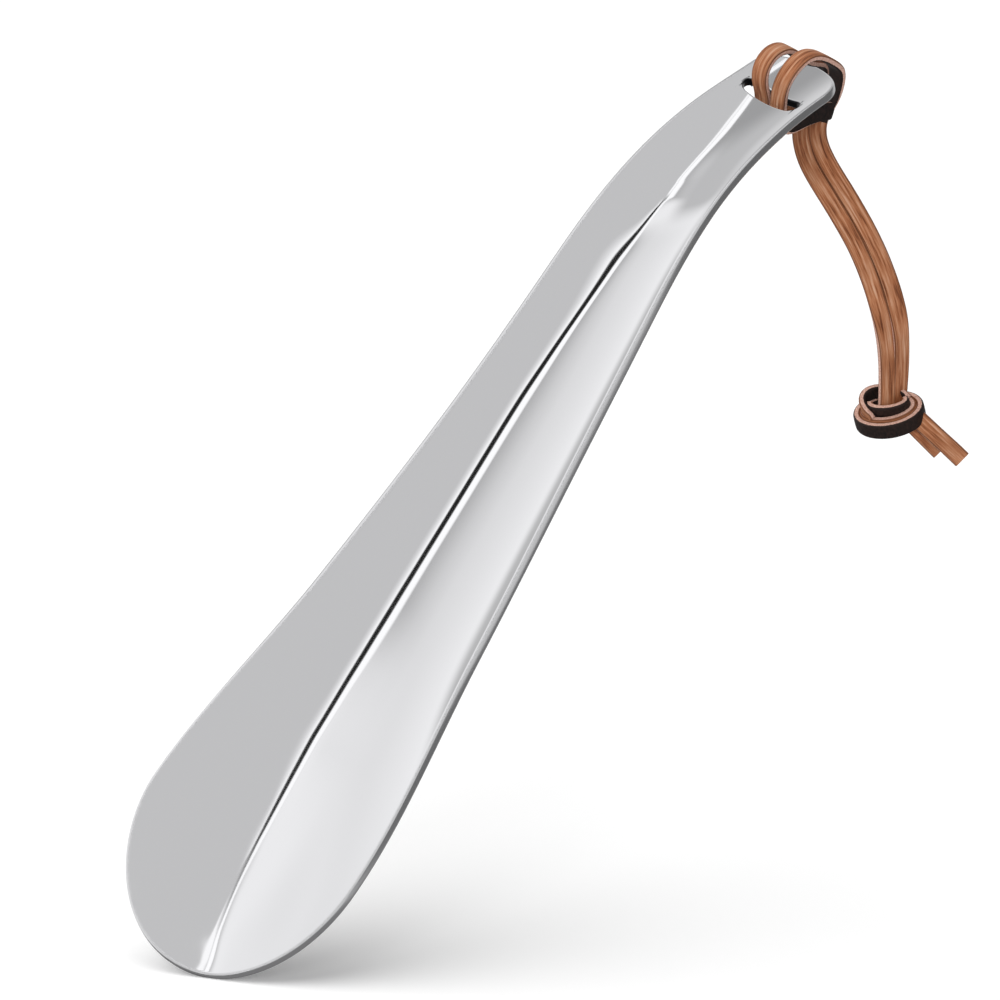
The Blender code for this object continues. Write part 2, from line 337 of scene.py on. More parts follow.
def makeBlade(steel):
    outline = bladeOutline()
    normals = outlineNormals(outline)
    inset = blade["edgeRound"] + blade["support"]
    columns = blade["columns"]
    shape = bmesh.new()
    rimMark = shape.verts.layers.float.new("rim")
    lay = shape.loops.layers.uv.new("lay")
    flat = {}
    grids = ([], [])
    stations = []
    for row, ((half, along), (nx, ns)) in enumerate(zip(outline, normals)):
        half, along = half - inset * nx, along - inset * ns
        near, far = [], []
        for i in range(columns + 1):
            arc = half * (2 * i / columns - 1)
            point = bladePoint(arc, along)
            normal = bladeNormal(arc, along)
            near.append(shape.verts.new(point))
            far.append(shape.verts.new(point - normal * blade["sheet"]))
            flat[near[-1]] = flat[far[-1]] = (arc, along)
            atEnd = -1 if row == 0 else 1 if row == len(outline) - 1 else 0
            rim = -1 if i == 0 else 1 if i == columns else 0
            if rim or atEnd:
                way = (rim * nx, ns) if rim else (0.0, atEnd)
                step = blade["nudge"]
                out = bladePoint(arc + step * way[0], along + step * way[1]) - point
                out = (out - out.dot(normal) * normal).normalized()
                stations.append((row, i, near[-1], far[-1], point, out, normal))
        grids[0].append(near)
        grids[1].append(far)
    for low, high in zip(grids[0], grids[0][1:]):
        for i in range(columns):
            shape.faces.new((low[i], low[i + 1], high[i + 1], high[i]))
    for low, high in zip(grids[1], grids[1][1:]):
        for i in range(columns):
            shape.faces.new((low[i], high[i], high[i + 1], low[i + 1]))
    last = len(outline) - 1
    tip = sorted((s for s in stations if s[0] == 0), key=lambda s: s[1])
    right = sorted((s for s in stations if 0 < s[0] < last and s[1] == columns), key=lambda s: s[0])
    end = sorted((s for s in stations if s[0] == last), key=lambda s: -s[1])
    left = sorted((s for s in stations if 0 < s[0] < last and s[1] == 0), key=lambda s: -s[0])
    strips = []
    for row, i, near, far, point, out, normal in tip + right + end + left:
        rings = [point + out * (inset - inward) - normal * depth for inward, depth in edgeProfile()]
        turned = [shape.verts.new(p) for p in rings]
        for vertex in turned:
            vertex[rimMark] = 1.0
            flat[vertex] = flat[near]
        strips.append([near] + turned + [far])
    for one, two in zip(strips, strips[1:] + strips[:1]):
        for i in range(len(one) - 1):
            shape.faces.new((one[i], one[i + 1], two[i + 1], two[i]))
    bmesh.ops.recalc_face_normals(shape, faces=shape.faces)
    for quad in shape.faces:
        for loop in quad.loops:
            loop[lay].uv = flat[loop.vert]
    made = meshObject("shoehorn_blade", shape, steel)
    punchSlot(made)
    return made


def punchSlot(made):
    # a round bar pulled apart, cut through and its edges broken
    bpy.ops.object.select_all(action="DESELECT")
    slotAt = bladeEnd - blade["slotFromEnd"]
    bpy.ops.mesh.primitive_cylinder_add(
        vertices=blade["slotSides"], radius=blade["slotWidth"] / 2, depth=4 * blade["sheet"]
    )
    cutter = bpy.context.object
    pull = (blade["slotLength"] - blade["slotWidth"]) / 2
    cutter.data.transform(Matrix.Rotation(math.pi / blade["slotSides"], 4, "Z"))
    for vertex in cutter.data.vertices:
        vertex.co.x += math.copysign(pull, vertex.co.x)
    upright = bladeFacing(slotAt).to_track_quat("Z", "Y").to_matrix().to_4x4()
    slotPlace = Matrix.Translation(troughPoint(0.0, slotAt) - gripPoint)
    cutter.data.transform(bladeTurn @ slotPlace @ upright)
    onlySelect(made)
    cut = made.modifiers.new("slot", "BOOLEAN")
    cut.object = cutter
    bpy.ops.object.modifier_apply(modifier="slot")
    bpy.data.objects.remove(cutter, do_unlink=True)
    slotMiddle = bladePoint(0.0, slotAt)
    bpy.ops.object.mode_set(mode="EDIT")
    bpy.ops.mesh.select_mode(type="EDGE")
    bpy.ops.mesh.select_all(action="DESELECT")
    shape = bmesh.from_edit_mesh(made.data)
    slotReach = blade["slotFromEnd"] - blade["slotClear"]
    for edge in shape.edges:
        middle = (edge.verts[0].co + edge.verts[1].co) / 2
        if len(edge.link_faces) == 2 and (middle - slotMiddle).length < slotReach:
            edge.select = edge.calc_face_angle(0.0) > blade["slotCorner"]
    bmesh.update_edit_mesh(made.data)
    bpy.ops.mesh.bevel(offset=blade["slotRound"], segments=blade["slotSteps"], affect="EDGES")
    bpy.ops.object.mode_set(mode="OBJECT")
    bpy.ops.object.shade_smooth_by_angle(angle=blade["smoothAngle"])

    # mark the slot's wall for its near-black colour: partly a darker cut wall, partly painted shade of the
    # hollow and of the lace in it
    slotShade = made.data.attributes.new("slotShade", "FLOAT", "POINT")
    slotSide = bladeTurn.to_3x3() @ Vector((1, 0, 0))
    slotFace = bladeTurn.to_3x3() @ bladeFacing(slotAt)
    slotOut = slotFace.cross(slotSide)
    grown = blade["slotWidth"] / 2 + blade["slotRound"] / 2
    for vertex in made.data.vertices:
        offset = vertex.co - slotMiddle
        side = max(abs(offset.dot(slotSide)) - pull, 0.0)
        inSlot = math.hypot(side, offset.dot(slotOut)) < grown
        onWall = inSlot and abs(offset.dot(slotFace)) < blade["slotHeight"]
        slotShade.data[vertex.index].value = 1.0 if onWall else 0.0


# lace: one flat strip of leather, doubled, with the route of the solid
lace = {
    "width": 0.0028,  # of the solid
    "fullWidth": 0.00322,  # as drawn, so that the strands lie edge to edge
    "thickness": 0.0012,
    "corner": 0.00040,
    "crown": 0.00005,
    "steps": 10,
    "tangent": 0.1,  # of a point either way gives the direction
    "ease": 0.9,  # of a point either way eases a corner
    "wander": 0.02,
    "wanderScale": 220,
    "rubScale": 310,
    "smoothAngle": math.radians(50),
    # how far the bight's right end stands above the solid's, and each point's share of it
    "bightLift": 0.0022,
    "liftShares": (0.0, 0.0, 0.2, 0.6, 1.0, 1.0, 0.6, 0.2, 0.0, 0.0, 0.0, 0.0),
}


def barFrame():
    bar = blade["slotFromEnd"] - blade["slotWidth"] / 2
    along = bladeEnd - bar / 2
    lean = leanOfProfile(along)
    facing = bladeFacing(along)
    middle = troughPoint(0.0, along) - gripPoint - facing * blade["sheet"] / 2
    turned = bladeTurn.to_3x3()
    outward = Vector((0.0, math.sin(lean), math.cos(lean)))
    return turned @ middle, turned @ Vector((1, 0, 0)), turned @ outward, turned @ facing


barMiddle, barSide, barOut, barFacing = barFrame()


def byBar(side, out, facing):
    return barMiddle + mm * (side * barSide + out * barOut + facing * barFacing)


def belowBar(right, back, up):
    return barMiddle + mm * Vector((right, back, up))


shortTail = [belowBar(26.2, 3.5, -65.8), belowBar(24.2, 3.5, -63.8), belowBar(22.3, 3.4, -61.9)]
rightStrand = [
    belowBar(19.0, 3.8, -53.3), belowBar(19.1, 3.6, -45.1), belowBar(18.1, 3.4, -39.4),
    belowBar(16.3, 3.7, -33.6), belowBar(13.8, 4.0, -28.0), belowBar(10.8, 4.3, -22.5),
    belowBar(7.3, 4.6, -16.9), belowBar(4.1, 5.0, -11.4),
]
rightLoop = [
    byBar(2.6, 3.6, -8.3), byBar(3.1, 5.5, -5.6), byBar(3.4, 6.8, -3.0), byBar(3.6, 7.0, -0.4),
    byBar(3.8, 6.3, 2.2), byBar(3.8, 4.4, 4.3), byBar(3.6, 1.4, 7.0), byBar(3.2, -1.1, 8.5),
    byBar(2.8, -3.5, 8.6), byBar(2.3, -5.5, 7.2), byBar(1.9, -7.0, 4.8), byBar(1.75, -7.4, 2.4),
    byBar(1.7, -7.3, 0.2), byBar(1.7, -7.3, -2.4),
]
bight = [
    byBar(1.75, -7.1, -4.0), byBar(2.0, -5.0, -5.6), byBar(2.3, -2.0, -6.5), byBar(3.3, 1.5, -7.0),
    byBar(5.2, 3.9, -8.0), byBar(4.0, 5.4, -9.2), byBar(1.1, 5.0, -9.6), byBar(-1.7, 3.5, -9.2),
    byBar(-2.5, 1.2, -7.8), byBar(-2.4, -1.8, -6.9), byBar(-2.1, -4.7, -5.7), byBar(-1.75, -7.1, -4.0),
]
lifts = [Vector((0, 0, lace["bightLift"] * share)) for share in lace["liftShares"]]
bight = [point + lift for point, lift in zip(bight, lifts)]
leftLoop = [
    byBar(-1.7, -7.3, -2.4), byBar(-1.7, -7.3, 0.2), byBar(-1.75, -8.1, 2.6), byBar(-1.9, -8.6, 4.9),
    byBar(-2.0, -8.0, 7.0), byBar(-2.0, -6.5, 8.3), byBar(-1.8, -4.5, 8.8), byBar(-1.4, -2.1, 8.1),
    byBar(-1.0, -0.4, 6.3), byBar(-0.5, 1.4, 4.4), byBar(0.0, 3.6, 3.0), byBar(0.4, 6.0, 1.9),
    byBar(0.5, 6.8, -0.4), byBar(0.3, 6.2, -3.0), byBar(0.0, 4.4, -5.8), byBar(-0.2, 2.4, -8.1),
]
leftStrand = [
    belowBar(1.3, 5.0, -12.9), belowBar(4.6, 4.6, -18.4), belowBar(8.0, 4.3, -23.9),
    belowBar(11.1, 4.0, -29.4), belowBar(13.4, 3.7, -34.8), belowBar(15.1, 3.4, -40.2),
    belowBar(16.2, 2.6, -45.5), belowBar(16.6, 2.0, -53.0),
]
longTail = [
    belowBar(22.9, 1.9, -60.4), belowBar(25.3, 1.8, -62.6),
    belowBar(27.7, 1.8, -64.8), belowBar(30.0, 1.8, -67.0),
]
knotMiddle = belowBar(16.9, 2.8, -58.2)
acrossHang = Vector((0.88, 0.0, 0.47))
acrossKnot = Vector((0.84, 0.54, 0.0))
acrossTail = Vector((0.73, 0.0, 0.68))
acrossTurn = 0.92 * barSide + 0.39 * barOut - 0.08 * barFacing
acrossBight = 0.17 * barSide - 0.56 * barOut - 0.81 * barFacing
acrossLeg = barSide + acrossBight

rightInKnot = belowBar(18.2, 3.3, -60.5)
leftInKnot = belowBar(16.3, 2.3, -60.5)
shortInKnot = belowBar(20.2, 3.3, -59.8)
longInKnot = belowBar(20.6, 2.0, -58.3)
hang = [acrossKnot] * 2 + [acrossHang] * (len(rightStrand) - 2)
nearLoop = [acrossTurn] * 2 + [barSide] * (len(rightLoop) - 2)
leg = [barSide, acrossLeg, acrossLeg]
ring = leg + [acrossBight] * (len(bight) - 6) + leg[::-1]
farLoop = [barSide] * (len(leftLoop) - 2) + [acrossTurn] * 2
laceLine = rightStrand + rightLoop + bight + leftLoop + leftStrand
laceAcross = hang + nearLoop + ring + farLoop + hang[::-1]


def curvePoint(points, place):
    # smooth curve through the points, place counted in points
    last = len(points) - 1
    index = min(max(int(place), 0), last - 1)
    x = place - index
    before, start = points[max(index - 1, 0)], points[index]
    stop, after = points[index + 1], points[min(index + 2, last)]
    leanIn = (stop - before) / 2 if index else stop - start
    leanOut = (after - start) / 2 if index + 2 <= last else stop - start
    return (
        start * (2 * x**3 - 3 * x**2 + 1)
        + leanIn * (x**3 - 2 * x**2 + x)
        + stop * (3 * x**2 - 2 * x**3)
        + leanOut * (x**3 - x**2)
    )


def easedPoint(points, place):
    # the curve with its corners eased, as leather takes a bend
    reach = min(lace["ease"], place, len(points) - 1 - place)
    if reach <= 0:
        return curvePoint(points, place)
    weights = (1, 4, 6, 4, 1)
    total = Vector((0, 0, 0))
    for step, weight in zip((-1, -0.5, 0, 0.5, 1), weights):
        total += weight * curvePoint(points, place + step * reach)
    return total / sum(weights)


def laceSection():
    # one turn round the strip: across, through, and which face it is on (1 top, -1 bottom, 0 cut edge)
    w, t, r = lace["fullWidth"] / 2, lace["thickness"] / 2, lace["corner"]
    flats = [-0.75, -0.4, 0.0, 0.4, 0.75]
    top = [(f * w, t + lace["crown"] * (1 - f * f), 1.0) for f in reversed(flats)]
    faces = (1.0, 0.92, 0.84, 0.0)  # round the corner, from the tan face to the cut edge; the values between also set the painted shade that darkens the corners, standing for the groove where the strands meet
    turns = [math.pi / 6 * i for i in range(4)]
    corner = [(math.sin(turn), math.cos(turn), face) for turn, face in zip(turns, faces)]
    rightTop = [(w - r + r * s, t - r + r * c, face) for s, c, face in corner]
    rightBottom = [(x, -y, -face) for x, y, face in reversed(rightTop)]
    leftBottom = [(-x, y, face) for x, y, face in reversed(rightBottom)]
    leftTop = [(-x, y, face) for x, y, face in reversed(rightTop)]
    bottom = [(-x, -y, -1.0) for x, y, face in top]
    right = rightTop + [(w, 0.0, 0.0)] + rightBottom
    left = leftBottom + [(-w, 0.0, 0.0)] + leftTop
    return right + bottom[::-1] + left + top[::-1]


def laceRun(points, acrosses, start, stop):
    # centre, direction, across and distance of each cross-section
    count = max(2, round((stop - start) * lace["steps"]))
    run = []
    travelled = 0.0
    for i in range(count + 1):
        place = start + (stop - start) * i / count
        centre = easedPoint(points, place)
        ahead = easedPoint(points, place + lace["tangent"])
        along = (ahead - easedPoint(points, place - lace["tangent"])).normalized()
        side = easedPoint(acrosses, place)
        side = (side - side.dot(along) * along).normalized()
        if run:
            travelled += (centre - run[-1][0]).length
        run.append((centre, along, side, travelled))
    return run


def addStrip(shape, run, flip, caps=(True, True), width=1.0):
    # lofts the section along a run; flip puts the tan face on the other side
    face = shape.verts.layers.float["face"]
    lay = shape.loops.layers.uv["lay"]
    section = laceSection()
    rows = []
    seed = run[0][0] * 1000  # in mm
    for centre, along, side, travelled in run:
        through = along.cross(side)
        wobble = noise.noise(Vector((travelled * lace["wanderScale"], seed.x, seed.z)))
        rub = noise.noise(Vector((travelled * lace["rubScale"], seed.z, seed.y)))
        row = []
        for x, y, kind in section:
            x *= width * (1 + lace["wander"] * wobble)
            y *= 1 + lace["wander"] * rub
            vertex = shape.verts.new(centre + side * x + through * y)
            vertex[face] = kind * flip
            row.append(vertex)
        rows.append((row, travelled))
    count = len(section)
    girth = 2 * (lace["width"] + lace["thickness"])
    for (low, here), (high, there) in zip(rows, rows[1:]):
        for i in range(count):
            j = (i + 1) % count
            quad = shape.faces.new((low[i], low[j], high[j], high[i]))
            corners = ((i, here), (i + 1, here), (i + 1, there), (i, there))
            for loop, (step, distance) in zip(quad.loops, corners):
                loop[lay].uv = (step / count * girth, distance)
    for wanted, (row, distance), turn in zip(caps, (rows[0], rows[-1]), (1, -1)):
        if wanted:
            copies = [shape.verts.new(v.co) for v in row]
            for copy in copies:
                copy[face] = 0.0
            cap = shape.faces.new(copies[::turn])
            for loop in cap.loops:
                loop[lay].uv = (loop.vert.co.x, loop.vert.co.z)


def newStrip():
    shape = bmesh.new()
    shape.verts.layers.float.new("face")
    shape.loops.layers.uv.new("lay")
    return shape


def finishStrip(name, shape, leather):
    bmesh.ops.recalc_face_normals(shape, faces=shape.faces)
    made = meshObject(name, shape, leather)
    onlySelect(made)
    bpy.ops.object.shade_smooth_by_angle(angle=lace["smoothAngle"])
    return made


# knot: the doubled strip turned round itself, standing on its cut edges
knot = {
    "axis": Vector((-0.22, -0.53, 0.82)).normalized(),
    # radii, angles from the right, heights and middle of each turn in mm and degrees, and its tan side
    "turns": (
        ((5.75, 4.15), (80, 432), (-1.2, -1.2), (0.0, 0.0), -1),
        ((4.47, 2.87), (95, 445), (-0.9, -0.9), (0.0, 0.0), 1),
        ((3.2, 1.62), (170, 375), (1.1, 0.5), (0.2, -0.1), -1),
    ),
    "turnSteps": 28,
    # right, back and up in the knot
    "curl": (
        (-3.2, -1.7, 0.0), (-4.2, -0.4, 1.6), (-4.0, 1.2, 2.5), (-2.6, 2.4, 2.7),
        (-0.2, 2.9, 2.0), (2.2, 2.7, 1.0), (3.6, 1.6, 0.0),
    ),
    "curlWidth": 0.85,
    "keepEvery": 3,
}
knotRight = (Vector((1, 0, 0)) - knot["axis"].x * knot["axis"]).normalized()
knotBack = knot["axis"].cross(knotRight)


def inKnot(right, back, up):
    return knotMiddle + mm * (right * knotRight + back * knotBack + up * knot["axis"])


def knotTurn(radii, angles, heights, centre):
    # points of part of a turn, anticlockwise from above
    points = []
    for i in range(knot["turnSteps"] + 1):
        share = i / knot["turnSteps"]
        angle = math.radians(angles[0] + (angles[1] - angles[0]) * share)
        up = heights[0] + (heights[1] - heights[0]) * share
        right = centre[0] + radii[0] * math.cos(angle)
        back = centre[1] + radii[1] * math.sin(angle)
        points.append(inKnot(right, back, up))
    return points


def makeKnot(leather):
    shape = newStrip()
    strips = [(knotTurn(*turn), flip, 1.0) for *turn, flip in knot["turns"]]
    strips.append(([inKnot(*place) for place in knot["curl"]], -1, knot["curlWidth"]))
    for points, flip, width in strips:
        run = laceRun(points, [knot["axis"]] * len(points), 0, len(points) - 1)
        addStrip(shape, run[:-1:knot["keepEvery"]] + run[-1:], flip, width=width)
    return finishStrip("lace_knot_wrap", shape, leather)


def makeSteel():
    # stainless steel strip, pressed and mirror polished: clean reflections, faint hairlines along the blade,
    # and a duller cut edge; hairlines 0.12 mm apart are drawn 0.4 mm apart so that they show
    material, tree, shader = newMaterial("polished_stainless_steel")
    shader.inputs["Metallic"].default_value = 1.0
    slotShadeMask = addNode(tree, "ShaderNodeAttribute", {"attribute_name": "slotShade"})
    # the slot's wall is mixed to near black: partly a darker cut wall, partly painted shade of the hollow and
    # of the lace in it
    shade = addNode(tree, "ShaderNodeMix", {"data_type": "RGBA"},
                    {6: hexColour("E6E6E8"), 7: hexColour("1E1E20")}, {0: slotShadeMask.outputs["Fac"]})
    tree.links.new(shade.outputs[2], shader.inputs["Base Color"])
    place = addNode(tree, "ShaderNodeUVMap", {"uv_map": "lay"})
    stretch = addNode(tree, "ShaderNodeMapping", values={"Scale": (2500, 25, 1)},
                      links={"Vector": place.outputs["UV"]})
    hairline = addNode(tree, "ShaderNodeTexNoise", values={"Scale": 1.0, "Detail": 3.0},
                       links={"Vector": stretch.outputs["Vector"]})
    smear = addNode(tree, "ShaderNodeTexNoise", values={"Scale": 45.0, "Detail": 2.0},
                    links={"Vector": place.outputs["UV"]})
    grain = addNode(tree, "ShaderNodeMath", {"operation": "MULTIPLY_ADD"}, {1: 0.02, 2: 0.035},
                    {0: hairline.outputs["Fac"]})
    polish = addNode(tree, "ShaderNodeMath", {"operation": "MULTIPLY_ADD"}, {1: 0.03},
                     {0: smear.outputs["Fac"], 2: grain.outputs[0]})
    rim = addNode(tree, "ShaderNodeAttribute", {"attribute_name": "rim"})
    rough = addNode(tree, "ShaderNodeMath", {"operation": "MULTIPLY_ADD"}, {1: 0.16},
                    {0: rim.outputs["Fac"], 2: polish.outputs[0]})
    tree.links.new(rough.outputs[0], shader.inputs["Roughness"])
    return material


def makeLeather():
    # cowhide lace cut from dyed hide: tan brushed face with darker fibre streaks and painted shade darkening
    # its rounded corners, as in the groove where strands lie edge to edge, nearly black underside, pale
    # pinkish cut edges; fibres 0.1 mm wide are drawn a quarter of a millimetre wide, and pores of 0.2 mm twice
    # as large, so that they show
    material, tree, shader = newMaterial("cowhide_lace")
    place = addNode(tree, "ShaderNodeUVMap", {"uv_map": "lay"})
    along = addNode(tree, "ShaderNodeMapping", values={"Scale": (4200, 110, 1)},
                    links={"Vector": place.outputs["UV"]})
    streak = addNode(tree, "ShaderNodeTexNoise", values={"Scale": 1.0, "Detail": 4.0, "Roughness": 0.6},
                     links={"Vector": along.outputs["Vector"]})
    pores = addNode(tree, "ShaderNodeTexNoise", values={"Scale": 2600.0, "Detail": 3.0},
                    links={"Vector": place.outputs["UV"]})
    blotch = addNode(tree, "ShaderNodeTexNoise", values={"Scale": 160.0, "Detail": 2.0},
                     links={"Vector": place.outputs["UV"]})
    tan = addNode(tree, "ShaderNodeValToRGB", links={"Fac": streak.outputs["Fac"]})
    setRamp(tan, [(0.34, hexColour("6A381D")), (0.45, hexColour("A5653F")),
                  (0.57, hexColour("C08560")), (0.72, hexColour("D8AB8E"))])
    worn = addNode(tree, "ShaderNodeMix", {"data_type": "RGBA", "blend_type": "MULTIPLY"}, {0: 0.35},
                   {6: tan.outputs["Color"], 7: blotch.outputs["Fac"]})
    cut = addNode(tree, "ShaderNodeValToRGB", links={"Fac": pores.outputs["Fac"]})
    setRamp(cut, [(0.35, hexColour("AD8172")), (0.65, hexColour("D2AC9B"))])
    under = addNode(tree, "ShaderNodeValToRGB", links={"Fac": pores.outputs["Fac"]})
    setRamp(under, [(0.35, hexColour("120A08")), (0.7, hexColour("2C1A15"))])
    face = addNode(tree, "ShaderNodeAttribute", {"attribute_name": "face"})
    # painted shade: the tan face is mixed towards dark brown at its rounded corners, for the shaded groove
    # between strands lying edge to edge
    grooveShade = addNode(tree, "ShaderNodeMapRange", values={"From Min": 0.98, "From Max": 0.88, "To Max": 0.7},
                     links={"Value": face.outputs["Fac"]})
    grooveShaded = addNode(tree, "ShaderNodeMix", {"data_type": "RGBA"}, {7: hexColour("4A2410")},
                    {0: grooveShade.outputs[0], 6: worn.outputs[2]})
    ragged = addNode(tree, "ShaderNodeMath", {"operation": "MULTIPLY_ADD"}, {1: 0.5},
                     {0: pores.outputs["Fac"], 2: face.outputs["Fac"]})
    onTop = addNode(tree, "ShaderNodeMapRange", values={"From Min": 0.65, "From Max": 0.95},
                    links={"Value": ragged.outputs[0]})
    below = addNode(tree, "ShaderNodeMapRange", values={"From Min": -0.15, "From Max": -0.45},
                    links={"Value": ragged.outputs[0]})
    topColour = addNode(tree, "ShaderNodeMix", {"data_type": "RGBA"}, links={
        0: onTop.outputs[0], 6: cut.outputs["Color"], 7: grooveShaded.outputs[2]})
    colour = addNode(tree, "ShaderNodeMix", {"data_type": "RGBA"}, links={
        0: below.outputs[0], 6: topColour.outputs[2], 7: under.outputs["Color"]})
    tree.links.new(colour.outputs[2], shader.inputs["Base Color"])
    shader.inputs["Roughness"].default_value = 0.62
    shader.inputs["Specular IOR Level"].default_value = 0.35
    height = addNode(tree, "ShaderNodeMath", {"operation": "MULTIPLY_ADD"}, {1: 0.5},
                     {0: pores.outputs["Fac"], 2: streak.outputs["Fac"]})
    bump = addNode(tree, "ShaderNodeBump", values={"Strength": 0.5, "Distance": 0.00008},
                   links={"Height": height.outputs[0]})
    tree.links.new(bump.outputs["Normal"], shader.inputs["Normal"])
    return material


steel = makeSteel()
leather = makeLeather()
print("steel and leather made")

bladePiece = makeBlade(steel)
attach(bladePiece, "shoehorn")
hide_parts("blade")
bladePiece.visible_glossy = False
print("blade", len(bladePiece.data.polygons), "faces")

firstStop = len(rightStrand)
loopStop = firstStop + len(rightLoop) - 1
bightStop = loopStop + len(bight) + 1
lastStop = bightStop + len(leftLoop) - 1
lineEnd = len(laceLine) - 1


def makeLacePiece(name, body, spans, nodes, line=laceLine, acrosses=laceAcross):
    # spans are places along the lace's line, each with its tan side
    shape = newStrip()
    path = []
    for index, (start, stop, flip) in enumerate(spans):
        run = laceRun(line, acrosses, start, stop)
        addStrip(shape, run, flip, caps=(index == 0, index == len(spans) - 1))
        path += [step[0] for step in run[1 if path else 0:]]
    made = finishStrip(name, shape, leather)
    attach(made, body)
    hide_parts(*nodes)
    length = sum((b - a).length for a, b in zip(path, path[1:]))
    return made, path, length


hitchSpans = ((firstStop, loopStop, 1), (loopStop, bightStop, 1), (bightStop, lastStop, -1))
hitch, hitchPath, hitchLength = makeLacePiece(
    "lace_hitch", "shoehorn", hitchSpans, ("lace_loop_right", "lace_bight", "lace_loop_left")
)
hitch.visible_glossy = False
strandRight, rightPath, rightLength = makeLacePiece(
    "lace_hanging_right", "strap", ((0, firstStop + 1, -1),), ("lace_strand_right",),
    [rightInKnot] + laceLine, [acrossKnot] + laceAcross
)
strandLeft, leftPath, leftLength = makeLacePiece(
    "lace_hanging_left", "strap", ((lastStop, lineEnd + 1, 1),), ("lace_strand_left",),
    laceLine + [leftInKnot], laceAcross + [acrossKnot]
)

knotPiece = makeKnot(leather)
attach(knotPiece, "strap")
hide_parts("lace_knot")
for name, node, points, flip in (
    ("lace_end_short", "lace_tail_short", shortTail + [shortInKnot], -1),
    ("lace_end_long", "lace_tail_long", [longInKnot] + longTail, 1),
):
    shape = newStrip()
    run = laceRun(points, [acrossTail] * len(points), 0, len(points) - 1)
    addStrip(shape, run, flip)
    tail = finishStrip(name, shape, leather)
    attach(tail, "strap")
    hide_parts(node)

print("lace", round(hitchLength, 4), round(rightLength, 4), round(leftLength, 4))


# studio: pale floor, white all round, a broad lamp from the upper left and a smaller one in front
studio = {
    "floorHeight": -0.0960,
    "floorSize": 8.0,
    "fill": 0.27,
    "floorLift": 0.06,
    # side each lamp shines from, its strength and its spread in degrees
    "lamps": (((-0.45, -0.1, 1.0), 2.2, 84), ((-0.2, -1.0, 0.35), 1.2, 25)),
}
bpy.ops.object.select_all(action="DESELECT")
bpy.ops.mesh.primitive_plane_add(size=studio["floorSize"], location=(0, 0, studio["floorHeight"]))
floor = bpy.context.object
floor.name = "floor"
floorMaterial, floorTree, floorShader = newMaterial("pale_floor")
floorShader.inputs["Base Color"].default_value = hexColour("FFFFFF")
floorShader.inputs["Roughness"].default_value = 1.0
floorShader.inputs["Specular IOR Level"].default_value = 0.0
floorPath = addNode(floorTree, "ShaderNodeLightPath")
floorLift = addNode(floorTree, "ShaderNodeMath", {"operation": "MULTIPLY"},
                    {1: studio["floorLift"]}, {0: floorPath.outputs["Is Camera Ray"]})
floorShader.inputs["Emission Color"].default_value = (1, 1, 1, 1)
floorTree.links.new(floorLift.outputs["Value"], floorShader.inputs["Emission Strength"])
floor.data.materials.append(floorMaterial)
floor.visible_glossy = False

# what the steel mirrors, by direction: degrees round the blade from the viewer's side, degrees lengthwise,
# and degrees round from the dark gap between a panel on the left and one on the right
leftPanel = (("fromGap", 15.2, 17.2), ("fromGap", 118, 112))
panels = {
    "front": (0.0, -0.985, 0.174),
    "leftUp": (-0.839, 0.0947, 0.5367),
    "lengthwise": (0.545, 0.1457, 0.8262),
    # lengthwise degrees and the place of the gap there
    "gap": (
        (-30, 24), (-5, 24), (0, 25), (4, 28), (8, 32.5), (12, 38), (16, 45), (18.6, 51), (20, 57),
        (21, 61.5), (23, 62), (26, 62), (28, 61), (31, 57), (39, 57), (48, 60), (60, 64), (90, 75),
    ),
    # degrees from the gap and brightness
    "light": (
        (-190, 0.66), (-20, 0.66), (-17, 0.75), (-13, 0.90), (-9, 1.12), (-6, 1.2), (-4.5, 0.02),
        (4.5, 0.02), (6, 1.25), (15.2, 1.25), (16.7, 0.54), (23, 0.61), (35, 0.76), (50, 0.88),
        (105, 1.06), (116, 1.1), (122, 0.25), (135, 0.12), (190, 0.2),
    ),
    # towards the tip the gap is bridged: its edges, where that starts and is full, and how bright it gets
    "gapEdges": (6.0, 4.5),
    "gapFades": (19.5, 24),
    "bridge": 1.2,
    # places with a brightness of their own, each with its limits: where it starts and where it is full
    "zones": (
        # the left panel's far side is evenly bright low down
        (1.05, (*leftPanel, ("length", 5, 14), ("length", 21, 16))),
        # towards the tip the right panel stays even up to the gap
        (0.66, (("fromGap", 0, -2), ("length", 20, 23))),
        # the left panel dims at its far edge and towards its top
        (0.62, (*leftPanel, ("round", 80, 100), ("length", 9, 16))),
        (0.42, (*leftPanel, ("length", 34, 55))),
        # the dark side of the room, out to the right and behind
        (0.16, (("round", -28, -36), ("length", 6, 11))),
        # shade on the floor below
        (0.22, (("height", -0.25, -0.55),)),
    ),
    # the room behind, brighter towards the ceiling
    "roomFrom": (-0.55, -0.8),
    "roomHeights": (-0.7, 0.9),
    "roomLight": (0.12, 1.0),
}
world = bpy.data.worlds.new("studio")
scene.world = world
world.use_nodes = True
worldTree = world.node_tree
background = worldTree.nodes["Background"]
look = addNode(worldTree, "ShaderNodeTexCoord").outputs["Generated"]
ways = {}
for key in ("front", "leftUp", "lengthwise"):
    ways[key] = addNode(worldTree, "ShaderNodeVectorMath", {"operation": "DOT_PRODUCT"},
                        {1: panels[key]}, {0: look}).outputs["Value"]
ways["height"] = addNode(worldTree, "ShaderNodeSeparateXYZ", links={0: look}).outputs["Z"]
roundAngle = addNode(worldTree, "ShaderNodeMath", {"operation": "ARCTAN2"},
                     links={0: ways["leftUp"], 1: ways["front"]})
lengthAngle = addNode(worldTree, "ShaderNodeMath", {"operation": "ARCSINE"}, links={0: ways["lengthwise"]})
for key, angle in (("round", roundAngle), ("length", lengthAngle)):
    ways[key] = addNode(worldTree, "ShaderNodeMath", {"operation": "DEGREES"},
                        links={0: angle.outputs[0]}).outputs[0]

